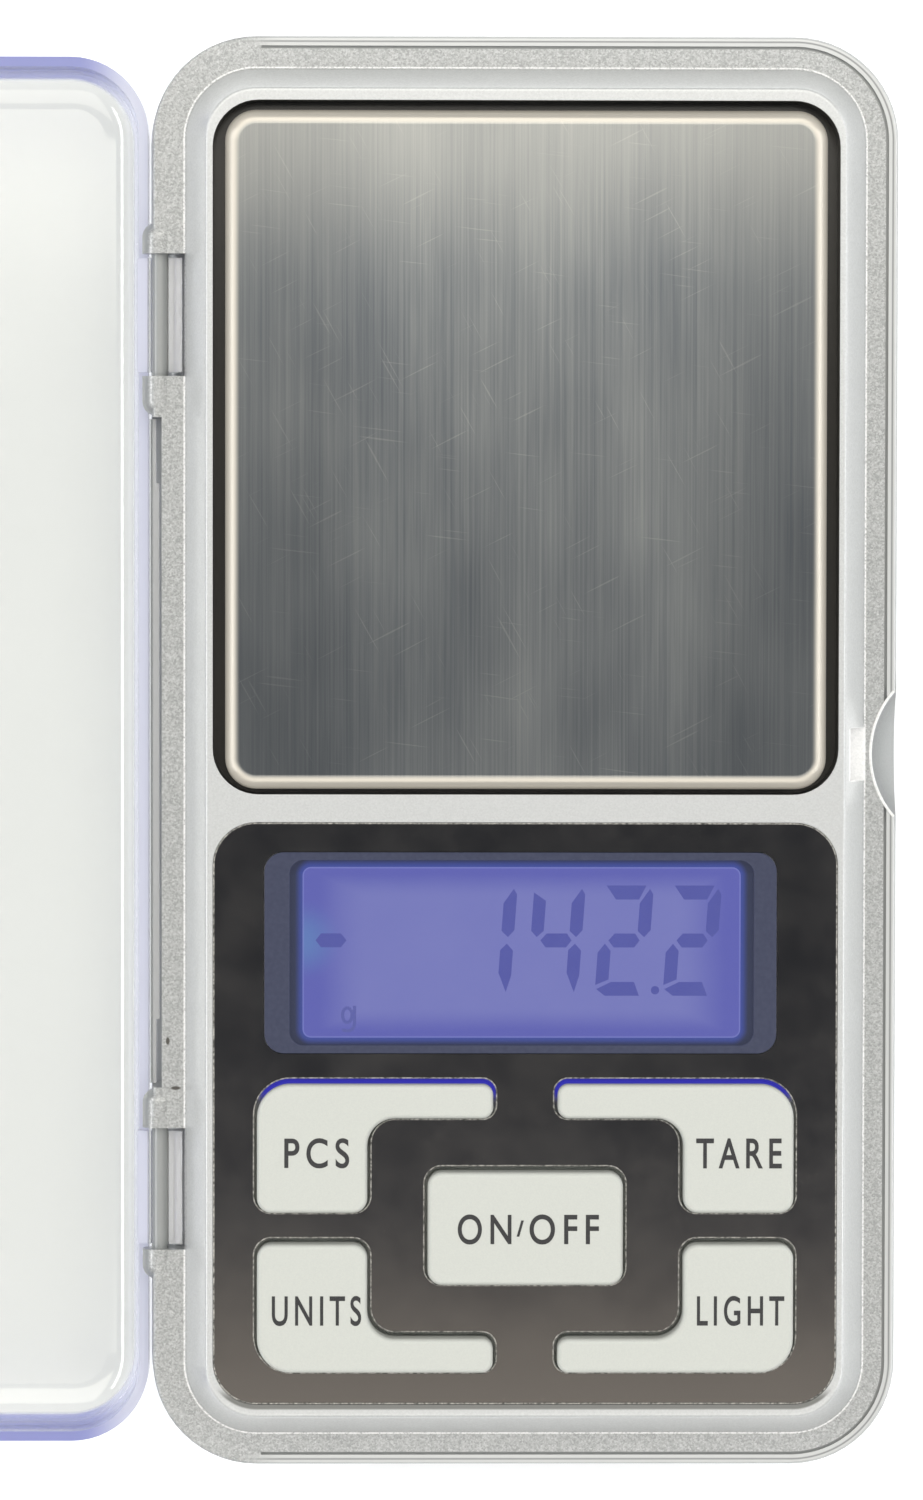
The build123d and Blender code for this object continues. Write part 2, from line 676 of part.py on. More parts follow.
def make_gauge_cover():
    top = cell_seat + cell_height
    cover = block(-cell_width / 2, cell_width / 2, cell_y - gauge_length / 2,
                  cell_y + gauge_length / 2, top, top + gauge_height)
    return fillet(top_edges(cover), gauge_height * 0.6)


def make_gauge_wires():
    """Four thin wires from the gauge cover, along the case, up to the circuit board."""
    level = cell_seat + cell_height + wire_radius
    wires = []
    for i in range(4):
        x = wire_side + i * wire_pitch
        y = cell_y - gauge_length / 4 - i * wire_pitch
        end_y = panel_top_y - 2.4
        path = FilletPolyline((cell_width / 2, y, level), (x, y, level), (x, end_y, level),
                              (x, end_y, board_low_z), radius=wire_bend)
        section = Plane(origin=(cell_width / 2, y, level), z_dir=(1, 0, 0)) * Circle(wire_radius)
        wires.append(sweep(section, path))
    return Compound(wires)


# ---- panel, display and board ---------------------------------------------------------------------
def window_outline(grow):
    return rounded(window_width + 2 * grow, window_height + 2 * grow, window_corner + grow,
                   window_shift, window_y)


def make_face_plate():
    outline = rounded(2 * (opening_x - panel_fit), panel_length - 2 * panel_fit, panel_corner,
                      0, panel_y)
    plate = slab(outline, panel_low_z, top_z)
    plate -= slab(window_outline(window_fit), panel_low_z - 1, top_z + 1)
    for key in key_outlines(0.0).values():
        plate -= slab(key, panel_low_z - 1, top_z + 1)
    return plate


def make_display_window():
    return slab(window_outline(0), panel_low_z, top_z)


def make_lcd_glass():
    """Two glass sheets; the rear one is longer, for the contacts at its upper edge."""
    ledge = 1.4
    rear = block(window_shift - glass_width / 2, window_shift + glass_width / 2,
                 window_y - glass_height / 2, window_y + glass_height / 2,
                 glass_low_z, glass_low_z + glass_thickness / 2)
    front = block(window_shift - glass_width / 2, window_shift + glass_width / 2,
                  window_y - glass_height / 2, window_y + glass_height / 2 - ledge,
                  glass_low_z + glass_thickness / 2, glass_top_z)
    return rear + front


def make_lcd_frame():
    fit = glass_frame_fit
    inner = rounded(glass_width + 2 * fit, glass_height + 2 * fit, 0.3, window_shift, window_y)
    outer = rounded(glass_width + 2 * (fit + glass_frame), glass_height + 2 * (fit + glass_frame),
                    0.8, window_shift, window_y)
    return slab(outer - inner, board_top_z, glass_top_z)


def make_backlight_panel():
    high = glass_low_z
    low_y = window_y - glass_height / 2 + 0.2
    high_y = window_y + glass_height / 2 - zebra_width - 0.6
    return block(window_shift - glass_width / 2 + 0.2, window_shift + glass_width / 2 - 0.2,
                 low_y, high_y, high - backlight_thickness, high)


def make_zebra_strip():
    high_y = window_y + glass_height / 2 - 0.2
    return block(window_shift - glass_width / 2 + 1, window_shift + glass_width / 2 - 1,
                 high_y - zebra_width, high_y, board_top_z, glass_low_z)


def make_circuit_board():
    board = block(-board_x, board_x, panel_bottom_y + board_margin, panel_top_y - board_margin,
                  board_low_z, board_top_z)
    for x, y in board_screw_places:
        board -= post(x, y, board_screw_radius + 0.15, board_low_z - 1, board_top_z + 1)
    return board


def make_controller_chip():
    """A square chip on the board's underside, beside the batteries."""
    x = bay_half_x + chip_size / 2
    y = panel_y
    return block(x - chip_size / 2, x + chip_size / 2, y - chip_size / 2, y + chip_size / 2,
                 board_low_z - chip_thickness, board_low_z)


def make_board_screws():
    return Compound([
        screw(x, y, board_screw_head, board_screw_radius, bed_low_z + 0.4, board_low_z,
              board_low_z - 0.8)
        for x, y in board_screw_places
    ])


# ---- keys -------------------------------------------------------------------------------------
def make_keys():
    caps, lips = key_outlines(-key_gap), key_outlines(key_flange_lip)
    keys = {}
    for name, outline in caps.items():
        cap = slab(Pos(0, -key_set) * outline, flange_top_z - 0.1, key_top_z)
        cap = fillet(top_edges(cap), key_round)
        keys[name] = cap + slab(lips[name], flange_low_z, flange_top_z)
    return keys


def make_dome(place):
    """A snap dome: a shallow spherical cap that stands on the board."""
    radius = (dome_radius ** 2 + dome_height ** 2) / (2 * dome_height)
    ball = Pos(place[0], place[1], board_top_z + dome_height - radius) * Sphere(radius)
    return ball & post(place[0], place[1], dome_radius + 1, board_top_z, flange_low_z + 1)


# ---- batteries ----------------------------------------------------------------------------------
def battery(side):
    """One cell; side is the end, along Y, that its nub points to."""
    x = -side * battery_pitch / 2
    nub_y = bay_high_y - contact_sheet if side > 0 else bay_low_y + contact_sheet
    shoulder = nub_y - side * battery_nub
    back = nub_y - side * battery_length
    can = rod(x, battery_z, battery_radius, *sorted((shoulder, back)))
    can = fillet(can.edges(), 0.4)
    return can + rod(x, battery_z, battery_nub_radius, *sorted((shoulder - side * 0.1, nub_y)))


def contact_plate(side, end_y, away):
    x = -side * battery_pitch / 2
    y0, y1 = sorted((end_y, end_y + away * contact_sheet))
    return block(x - contact_width / 2, x + contact_width / 2, y0, y1,
                 battery_z - contact_height / 2, battery_z + contact_height / 2)


def make_battery_contacts():
    return Compound([contact_plate(1, bay_high_y, -1), contact_plate(-1, bay_low_y, 1)])


def make_battery_springs():
    """A bent leaf at each cell's flat end."""
    springs = []
    for side, end_y, away in ((1, bay_low_y, 1), (-1, bay_high_y, -1)):
        x = -side * battery_pitch / 2
        reach, sheet, rise = spring_depth, contact_sheet, contact_height / 2
        profile = [(0, rise), (sheet, rise), (reach, 0), (sheet, -rise), (0, -rise),
                   (sheet, -rise + 1.6 * sheet), (reach - sheet * 1.3, 0),
                   (sheet, rise - 1.6 * sheet)]
        places = [(end_y + away * depth, battery_z + height) for depth, height in profile]
        leaf = make_face(Polyline(places, close=True))
        leaf = extrude(Plane.YZ * leaf, 2.5, both=True)
        springs.append(Pos(x, 0, 0) * leaf + contact_plate(side, end_y, away))
    return Compound(springs)


# ---- feet and case screws -----------------------------------------------------------------------
def make_case_screws():
    return Compound([
        screw(x, y, case_screw_head, case_screw_radius, roof_z - 0.4, case_screw_seat_z,
              base_z + 0.3)
        for x, y in case_screw_places
    ])


def make_rubber_feet():
    feet = []
    for x, y in foot_places:
        foot = post(x, y, foot_radius, 0, base_z + foot_recess)
        foot = fillet(foot.faces().sort_by(Axis.Z)[0].edges(), 0.3)
        feet.append(foot)
    return Compound(feet)


def make_parts():
    """Every piece by its node name."""
    keys = make_keys()
    parts = {
        "upper_case": make_upper_case(),
        "lower_case": make_lower_case(),
        "battery_door": make_battery_door(),
        "clear_lid": make_clear_lid(),
        "weighing_pan": make_weighing_pan(),
        "pan_carrier": make_pan_carrier(),
        "load_cell": make_load_cell(),
        "load_cell_screws": make_load_cell_screws(),
        "carrier_screws": make_carrier_screws(),
        "gauge_cover": make_gauge_cover(),
        "gauge_wires": make_gauge_wires(),
        "face_plate": make_face_plate(),
        "display_window": make_display_window(),
        "lcd_glass": make_lcd_glass(),
        "lcd_frame": make_lcd_frame(),
        "backlight_panel": make_backlight_panel(),
        "zebra_strip": make_zebra_strip(),
        "circuit_board": make_circuit_board(),
        "controller_chip": make_controller_chip(),
        "board_screws": make_board_screws(),
        "battery_1": battery(1),
        "battery_2": battery(-1),
        "battery_contacts": make_battery_contacts(),
        "battery_springs": make_battery_springs(),
        "case_screws": make_case_screws(),
        "rubber_feet": make_rubber_feet(),
    }
    for name, key in keys.items():
        parts[name] = key
        parts[name.replace("key", "dome", 1)] = make_dome(dome_places[name])
    return parts


os.makedirs("parts", exist_ok=True)
for node, shape in make_parts().items():
    export_step(Pos(-origin_x, 0, 0) * shape, f"parts/{node}.step")
print("origin_x", round(origin_x, 4), "hinge", round(hinge_x - origin_x, 4), round(hinge_z, 4))
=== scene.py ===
import math

import bmesh
import bpy
from mathutils import Matrix, Vector


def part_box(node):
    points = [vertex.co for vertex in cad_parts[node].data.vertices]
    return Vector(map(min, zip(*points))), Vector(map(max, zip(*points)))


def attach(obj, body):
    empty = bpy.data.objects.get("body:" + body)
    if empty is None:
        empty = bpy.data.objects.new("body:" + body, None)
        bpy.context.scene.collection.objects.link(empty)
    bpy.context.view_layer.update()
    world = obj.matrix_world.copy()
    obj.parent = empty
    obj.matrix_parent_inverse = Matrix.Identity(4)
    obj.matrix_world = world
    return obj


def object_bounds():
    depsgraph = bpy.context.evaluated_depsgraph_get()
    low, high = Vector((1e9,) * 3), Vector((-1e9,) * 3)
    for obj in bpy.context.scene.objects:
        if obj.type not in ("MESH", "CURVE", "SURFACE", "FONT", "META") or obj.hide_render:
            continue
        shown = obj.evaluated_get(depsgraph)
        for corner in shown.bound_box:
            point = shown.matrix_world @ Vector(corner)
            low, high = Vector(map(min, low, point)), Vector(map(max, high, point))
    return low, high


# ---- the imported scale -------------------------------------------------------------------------
# A pocket gram scale, 120 by 63 mm, with its clear lid folded open on the left. Everything is
# in metres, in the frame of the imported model.
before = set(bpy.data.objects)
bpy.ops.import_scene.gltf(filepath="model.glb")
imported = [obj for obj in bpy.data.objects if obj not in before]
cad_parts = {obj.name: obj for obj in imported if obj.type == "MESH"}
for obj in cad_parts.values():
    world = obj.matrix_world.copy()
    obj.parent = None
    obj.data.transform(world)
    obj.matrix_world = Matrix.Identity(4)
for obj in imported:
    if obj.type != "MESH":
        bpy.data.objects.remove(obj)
cad_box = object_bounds()
mm = 0.001


def linear(hex_colour):
    """An sRGB hex colour as linear red, green, blue and 1."""
    parts = [int(hex_colour[i:i + 2], 16) / 255 for i in (1, 3, 5)]
    return [p / 12.92 if p <= 0.04045 else ((p + 0.055) / 1.055) ** 2.4 for p in parts] + [1.0]


def add(tree, kind, settings=None, **inputs):
    """Adds a node with its settings; an input is a value, or a socket to link from."""
    made = tree.nodes.new("ShaderNode" + kind)
    for name, value in (settings or {}).items():
        setattr(made, name, value)
    for name, value in inputs.items():
        name = name.replace("_", " ")
        by_number = name[0] == "i" and name[1:].isdigit()
        target = made.inputs[int(name[1:]) if by_number else name]
        if isinstance(value, bpy.types.NodeSocket):
            tree.links.new(value, target)
        else:
            target.default_value = value
    return made


def new_finish(name):
    """A material with an empty node tree, and the place of a surface point in metres."""
    finish = bpy.data.materials.new(name)
    finish.use_nodes = True
    finish.node_tree.nodes.clear()
    place = add(finish.node_tree, "TexCoord").outputs["Object"]
    return finish, finish.node_tree, place


def show(tree, shader):
    add(tree, "OutputMaterial", Surface=shader)


def two_tone(tree, share, low, high, dark, light):
    """Two colours by a share, from low to high."""
    ramp = add(tree, "ValToRGB", Fac=share)
    first, last = ramp.color_ramp.elements
    first.position, last.position = low, high
    first.color, last.color = linear(dark), linear(light)
    return ramp.outputs["Color"]


def give(finish, *names):
    """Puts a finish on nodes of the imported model."""
    for name in names:
        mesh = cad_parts[name].data
        mesh.materials.clear()
        mesh.materials.append(finish)


# ---- painted shells ---------------------------------------------------------------------------
# Upper shell, lower shell and battery door: moulded ABS under a silver lacquer with fine
# aluminium flake. The ledge that the lid shuts on is coarser and sparkles more, and a smooth
# rounded lip runs round three sides of it. The pan's well turns dark, partly as bare plastic
# that little paint reaches and partly as painted shade. The lacquer's colour also holds painted
# highlights and painted shade on the lip, the rolled edge, the notch, the step's foot and the
# latch pocket.
ledge_z, face_z = 12.5 * mm, 16.2 * mm
# outlines on the upper shell: the middle, then half the width, half the length and the corner
case_mid = Vector((29.55 * mm, 0, 0))
rim_outline = case_mid, 31.03 * mm, 59.63 * mm, 8.63 * mm
step_outline = case_mid, 28.4 * mm, 57.0 * mm, 6.0 * mm
well_outline = case_mid + Vector((0, 25.4 * mm, 0)), 25.95 * mm, 28.7 * mm, 3.8 * mm
panel_pocket = case_mid + Vector((0, -29.85 * mm, 0)), 25.9 * mm, 24.2 * mm, 3.6 * mm
latch_pocket = case_mid + Vector((27.68 * mm, 0, 0)), 0.78 * mm, 2.25 * mm, 0.2 * mm
notch_middle, notch_radius = Vector((66.43 * mm, 0, ledge_z)), 8.0 * mm
worn_spots = [(-0.25, -24.1, 0.16, 0.34), (0.41, -28.04, 0.42, 0.16)]  # X, Y, half sizes, in mm


def math_of(tree, operation, *values):
    """One Math node's result."""
    return add(tree, "Math", {"operation": operation},
               **{f"i{count}": value for count, value in enumerate(values)}).outputs[0]


def product(tree, first, *others):
    """Several shares multiplied together."""
    for other in others:
        first = math_of(tree, "MULTIPLY", first, other)
    return first


def fade(tree, value, start, end, low=0.0, high=1.0):
    """A share that goes smoothly from low to high as value goes from start to end."""
    return add(tree, "MapRange", {"interpolation_type": "SMOOTHSTEP"}, Value=value, From_Min=start,
               From_Max=end, To_Min=low, To_Max=high).outputs["Result"]


def inset_from(tree, place, middle, half_x, half_y, corner):
    """How far a point lies inside a rounded rectangle, up to its corner's radius."""
    shape = add(tree, "Mapping", Vector=place, Location=(-middle[0], -middle[1], 0)).outputs[0]
    shape = add(tree, "VectorMath", {"operation": "ABSOLUTE"}, i0=shape).outputs[0]
    shape = add(tree, "VectorMath", {"operation": "SUBTRACT"}, i0=shape,
                i1=(half_x - corner, half_y - corner, 1.0)).outputs[0]
    shape = add(tree, "VectorMath", {"operation": "MAXIMUM"}, i0=shape, i1=(0, 0, 0)).outputs[0]
    reach = add(tree, "VectorMath", {"operation": "LENGTH"}, i0=shape).outputs["Value"]
    return math_of(tree, "SUBTRACT", corner, reach)


def blend_colour(tree, share, first, second):
    """The first colour where the share is 0, the second where it is 1."""
    return add(tree, "MixRGB", Fac=share, Color1=first, Color2=second).outputs[0]


silver, tree, place = new_finish("silver_lacquer")
sides = add(tree, "SeparateXYZ", Vector=place)
height = sides.outputs["Z"]
rim_inset = inset_from(tree, place, *rim_outline)
on_lip = product(tree, fade(tree, rim_inset, 0.80 * mm, 0.76 * mm),
                 fade(tree, sides.outputs["X"], 5.5 * mm, 9.5 * mm),
                 fade(tree, height, ledge_z - 0.25 * mm, ledge_z - 0.05 * mm))
# flake: each speck is lighter or darker than the lacquer, by less above the ledge and on the lip
coarse = fade(tree, height, ledge_z + 0.05 * mm, ledge_z + 0.5 * mm, 0.8, 0.22)
coarse = product(tree, coarse, math_of(tree, "SUBTRACT", 1.0, on_lip))
flake_share = 0.55
flake = add(tree, "TexVoronoi", Vector=place, Scale=1 / (0.13 * mm)).outputs["Color"]
flake = add(tree, "SeparateXYZ", Vector=flake).outputs["X"]
grain = add(tree, "TexNoise", Vector=place, Scale=1 / (0.18 * mm), Detail=2.0,
            Roughness=0.6).outputs["Fac"]
speck = math_of(tree, "MULTIPLY_ADD", flake, flake_share, grain)
speck = math_of(tree, "SUBTRACT", speck, 0.5 + flake_share / 2)
level = fade(tree, height, ledge_z + 0.05 * mm, ledge_z + 0.5 * mm, 0.33, 0.72)
speck = math_of(tree, "MULTIPLY_ADD", speck, coarse, level)
lacquer = two_tone(tree, speck, 0.1, 0.9, "#a0a2a2", "#dddfdf")
# painted highlight bands on the rounded lip, either side of a painted grey shade line along its
# middle
lip_highlight = math_of(tree, "ABSOLUTE", math_of(tree, "SUBTRACT", rim_inset, 0.42 * mm))
lip_highlight = two_tone(tree, fade(tree, lip_highlight, 0.0, 0.13 * mm), 0.0, 1.0, "#8c8e8f", "#cfd1d1")
lacquer = blend_colour(tree, on_lip, lacquer, lip_highlight)
# painted shade: the rolled edge below the ledge is darker
rolled_edge_shade = fade(tree, height, ledge_z - 0.03 * mm, ledge_z - 0.35 * mm)
lacquer = blend_colour(tree, rolled_edge_shade, lacquer, linear("#a2a5a5"))
# the pan's well turns dark, as bare plastic and as painted shade that deepens downwards, and
# the latch pocket gets a painted highlight, but neither reaches the underside
near_top = fade(tree, height, 8.5 * mm, 9.5 * mm)
well_plastic_and_shade = product(tree, fade(tree, inset_from(tree, place, *well_outline), -0.12 * mm, 0.0),
                  fade(tree, height, face_z - 0.05 * mm, face_z - 0.9 * mm), near_top)
lacquer = blend_colour(tree, well_plastic_and_shade, lacquer, linear("#45423c"))
latch_highlight_mask = inset_from(tree, place, *latch_pocket)
latch_highlight_mask = product(tree, fade(tree, latch_highlight_mask, -0.03 * mm, 0.03 * mm), near_top)
# painted highlight: near white on the latch pocket's floor
latch_highlight = two_tone(tree, grain, 0.3, 0.7, "#f0f1f1", "#ffffff")
lacquer = blend_colour(tree, latch_highlight_mask, lacquer, latch_highlight)
# painted shade in the finger notch, darkest at its edge
level_place = add(tree, "CombineXYZ", X=sides.outputs["X"], Y=sides.outputs["Y"]).outputs[0]
notch = add(tree, "VectorMath", {"operation": "DISTANCE"}, i0=level_place,
            i1=(notch_middle.x, notch_middle.y, 0)).outputs["Value"]
in_notch = product(tree, fade(tree, notch, 9.2 * mm, notch_radius),
                   fade(tree, height, ledge_z - 0.02 * mm, ledge_z - 0.2 * mm))
notch_shade = fade(tree, notch, 8.1 * mm, 5.8 * mm)
notch_shade = two_tone(tree, notch_shade, 0.0, 1.0, "#808384", "#a4a7a7")
lacquer = blend_colour(tree, in_notch, lacquer, notch_shade)
# worn spots on the ledge by the lower hinge
for spot_x, spot_y, wide, long in worn_spots:
    spot = add(tree, "Mapping", {"vector_type": "TEXTURE"}, Vector=place,
               Location=(spot_x * mm, spot_y * mm, ledge_z),
               Scale=(wide * mm, long * mm, 4 * mm)).outputs[0]
    spot = add(tree, "VectorMath", {"operation": "LENGTH"}, i0=spot).outputs["Value"]
    lacquer = blend_colour(tree, fade(tree, spot, 1.3, 0.6), lacquer, linear("#55534e"))
# the pocket's lower edge is rounded and lies in the panel's shade
under_panel = inset_from(tree, place, *panel_pocket)
under_panel = product(tree, fade(tree, under_panel, -0.55 * mm, -0.35 * mm),
                      fade(tree, sides.outputs["Y"], -52.5 * mm, -53.7 * mm), near_top)
lacquer = blend_colour(tree, under_panel, lacquer, linear("#7d7e7b"))
# painted highlight: a bright line along the foot of the raised step
step_foot_highlight = math_of(tree, "ABSOLUTE", inset_from(tree, place, *step_outline))
step_foot_highlight = product(tree, fade(tree, step_foot_highlight, 0.13 * mm, 0.04 * mm),
                    fade(tree, height, ledge_z + 0.6 * mm, ledge_z + 0.3 * mm),
                    fade(tree, grain, 0.3, 0.55, 0.25, 0.9))
lacquer = blend_colour(tree, step_foot_highlight, lacquer, linear("#ffffff"))
matting = add(tree, "MapRange", Value=speck, To_Min=0.46, To_Max=0.28).outputs["Result"]
bumps = add(tree, "Bump", Height=speck, Strength=0.3, Distance=0.03 * mm).outputs["Normal"]
coat = math_of(tree, "MULTIPLY_ADD", in_notch, -0.6, 0.6)  # none in the notch
show(tree, add(tree, "BsdfPrincipled", Base_Color=lacquer, Metallic=0.35, Roughness=matting,
               Normal=bumps, Coat_Weight=coat, Coat_Roughness=0.14).outputs[0])
give(silver, "upper_case", "lower_case", "battery_door")


def close_edit():
    bpy.ops.object.mode_set(mode="OBJECT")


def make_shut():
    """Fills open ends and turns every face outwards, then leaves edit mode."""
    bpy.ops.mesh.select_all(action="SELECT")
    bpy.ops.mesh.fill_holes(sides=0)
    bpy.ops.mesh.select_all(action="SELECT")
    bpy.ops.mesh.normals_make_consistent(inside=False)
    close_edit()


def mottled(name, size, detail, dark, light, low=0.3, high=0.7, **surface):
    """A finish that drifts between two colours, in patches of about this size."""
    finish, tree, place = new_finish(name)
    patches = add(tree, "TexNoise", Vector=place, Scale=1 / size, Detail=detail).outputs["Fac"]
    colour = two_tone(tree, patches, low, high, dark, light)
    show(tree, add(tree, "BsdfPrincipled", Base_Color=colour, **surface).outputs[0])
    return finish


# Painted highlight: a thin tube of glossy near white lacquer runs along the finger notch's edge.
bead_radius, notch_reach = 0.13 * mm, math.radians(41)
notch_end = Vector((-math.cos(notch_reach), math.sin(notch_reach), 0))
bpy.ops.object.select_all(action="DESELECT")
bpy.ops.mesh.primitive_circle_add(
    vertices=8, radius=bead_radius, rotation=(math.pi / 2, 0, math.pi - notch_reach),
    location=notch_middle + notch_radius * notch_end)
highlight_bead = bpy.context.object
highlight_bead.name = "notch_highlight_bead"
bpy.ops.object.transform_apply(location=True, rotation=True, scale=True)
bpy.ops.object.mode_set(mode="EDIT")
bpy.ops.mesh.select_all(action="SELECT")
bpy.ops.mesh.spin(steps=40, angle=-2 * notch_reach, center=notch_middle, axis=(0, 0, 1))
make_shut()
notch_highlight_finish = mottled("notch_edge_highlight", 0.3 * mm, 2.0, "#e9ebeb", "#ffffff",
                 Roughness=0.2, Coat_Weight=1.0, Coat_Roughness=0.05)
highlight_bead.data.materials.append(notch_highlight_finish)
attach(highlight_bead, "case")

# ---- feet -------------------------------------------------------------------------------------
# Four round rubber pads, glued into shallow recesses under the case. They are matte and a
# little dusty.
rubber = mottled("foot_rubber", 0.8 * mm, 4.0, "#18181a", "#2a2a2c", 0.4, Roughness=0.85)
give(rubber, "rubber_feet")

# ---- batteries, contacts and springs ----------------------------------------------------------
# Two AAA cells in plain printed sleeves lie under the keys, between nickel-plated contacts and
# springs.
sleeve = mottled("battery_sleeve", 2 * mm, 2.0, "#23262e", "#31353f",
                 Metallic=0.6, Roughness=0.35)
give(sleeve, "battery_1", "battery_2")

nickel = mottled("nickel_plate", 1.2 * mm, 3.0, "#b8b2a4", "#d4cfc2",
                 Metallic=1.0, Roughness=0.3)
give(nickel, "battery_contacts", "battery_springs")

# ---- load cell --------------------------------------------------------------------------------
# A milled aluminium bar under the pan, its strain gauges under white silicone, with four wires
# and zinc-plated screws. The pan's moulded carrier is bolted to its free end.
milled, tree, place = new_finish("milled_aluminium")
cuts = add(tree, "TexWave", {"bands_direction": "Y"}, Vector=place, Scale=1 / (1.4 * mm),
           Distortion=1.5).outputs["Fac"]
aluminium = two_tone(tree, cuts, 0.2, 0.8, "#b9bbbe", "#d0d2d4")
show(tree, add(tree, "BsdfPrincipled", Base_Color=aluminium, Metallic=1.0,
               Roughness=0.35).outputs[0])
give(milled, "load_cell")

zinc = mottled("zinc_plate", 0.5 * mm, 3.0, "#9da1a6", "#bfc3c7", Metallic=1.0, Roughness=0.32)
give(zinc, "load_cell_screws", "carrier_screws", "board_screws", "case_screws")

silicone = mottled("white_silicone", 1.5 * mm, 2.0, "#dcdcd6", "#efefea", Roughness=0.5)
give(silicone, "gauge_cover")

insulation, tree, place = new_finish("wire_insulation")
across = add(tree, "SeparateXYZ", Vector=place).outputs["X"]
across = add(tree, "MapRange", Value=across, From_Min=27 * mm, From_Max=32 * mm).outputs["Result"]
sleeving = two_tone(tree, across, 0.45, 0.55, "#a3201c", "#1f1f22")
show(tree, add(tree, "BsdfPrincipled", Base_Color=sleeving, Roughness=0.45).outputs[0])
give(insulation, "gauge_wires")

grey_abs = mottled("grey_abs", 0.25 * mm, 3.0, "#3c3d44", "#4a4b53", Roughness=0.6)
give(grey_abs, "pan_carrier", "lcd_frame")

# ---- circuit board and snap domes -------------------------------------------------------------
# A glass-epoxy board in green solder mask, with one epoxy-covered chip, and five steel domes.
# A strip of layered elastomer joins it to the display glass.
mask = mottled("green_solder_mask", 0.5 * mm, 4.0, "#0e4a28", "#186a3b", Roughness=0.3)
give(mask, "circuit_board")

epoxy = mottled("chip_epoxy", 0.15 * mm, 2.0, "#1a1a1b", "#29292b", Roughness=0.6)
give(epoxy, "controller_chip")

elastomer, tree, place = new_finish("layered_elastomer")
layers = add(tree, "TexWave", {"bands_direction": "X"}, Vector=place,
             Scale=1 / (2 * mm)).outputs["Fac"]
layers = two_tone(tree, layers, 0.4, 0.6, "#2a2226", "#b86f86")
show(tree, add(tree, "BsdfPrincipled", Base_Color=layers, Roughness=0.7).outputs[0])
give(elastomer, "zebra_strip")

dome_steel = mottled("dome_steel", 0.7 * mm, 3.0, "#a8a8aa", "#c8c8ca",
                     Metallic=1.0, Roughness=0.25)
give(dome_steel, "dome_pcs", "dome_tare", "dome_units", "dome_light", "dome_on_off")

# ---- display ----------------------------------------------------------------------------------
# The display glass is dark round its edge. Its front polariser is a plastic film, lit from
# behind by a blue violet light guide, which glows most at the lamp on the left.
guide, tree, place = new_finish("light_guide")
dots = add(tree, "TexVoronoi", Vector=place, Scale=1 / (0.6 * mm)).outputs["Distance"]
dots = two_tone(tree, dots, 0.1, 0.5, "#a9aef0", "#7f86dd")
show(tree, add(tree, "BsdfPrincipled", Base_Color=dots, Roughness=0.3,
               Emission_Color=linear("#3a3cc8"), Emission_Strength=1.0).outputs[0])
give(guide, "backlight_panel")

display_glass, tree, place = new_finish("display_glass")
glass_low, glass_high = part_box("lcd_glass")
lit_x, lit_y = (glass_low.x + glass_high.x) / 2 + 0.1 * mm, (glass_low.y + glass_high.y) / 2
lit_width, lit_length, lit_corner = 36.4 * mm, 14.2 * mm, 0.7 * mm
lit_outline = (lit_x, lit_y), lit_width / 2, lit_length / 2, lit_corner
film_thickness = 0.02 * mm
spill = fade(tree, inset_from(tree, place, *lit_outline), -0.7 * mm, 0.0)
spill = two_tone(tree, spill, 0.0, 1.0, "#000000", "#2c40a0")
smear = add(tree, "TexNoise", Vector=place, Scale=1 / (4 * mm), Detail=2.0).outputs["Fac"]
smear = two_tone(tree, smear, 0.3, 0.7, "#262c38", "#2a3040")
show(tree, add(tree, "BsdfPrincipled", Base_Color=smear, Roughness=0.15,
               Emission_Color=spill, Emission_Strength=1.0).outputs[0])
give(display_glass, "lcd_glass")


def start_box(name, low, high):
    """A box from corner to corner, left alone and selected in edit mode."""
    bpy.ops.object.select_all(action="DESELECT")
    middle = (Vector(low) + Vector(high)) / 2
    bpy.ops.mesh.primitive_cube_add(size=1, location=middle)
    made = bpy.context.object
    made.name = name
    made.scale = Vector(high) - Vector(low)
    bpy.ops.object.transform_apply(location=True, rotation=True, scale=True)
    bpy.ops.object.mode_set(mode="EDIT")
    return made


def pick_edges(made, wanted):
    """Selects the edges whose two ends pass the test, in edit mode."""
    bpy.ops.mesh.select_all(action="DESELECT")
    bpy.ops.mesh.select_mode(type="EDGE")
    shape = bmesh.from_edit_mesh(made.data)
    for edge in shape.edges:
        if wanted(*[v.co for v in edge.verts]):
            edge.select_set(True)
    bmesh.update_edit_mesh(made.data)


def upright(a, b):
    """Whether an edge between two points stands straight up."""
    return abs(a.z - b.z) > 1e-7 and (a.xy - b.xy).length < 1e-7


film_low = (lit_x - lit_width / 2, lit_y - lit_length / 2, glass_high.z)
film_high = (lit_x + lit_width / 2, lit_y + lit_length / 2, glass_high.z + film_thickness)
polariser = start_box("front_polariser", film_low, film_high)
pick_edges(polariser, upright)
bpy.ops.mesh.bevel(offset=lit_corner, segments=6)
close_edit()

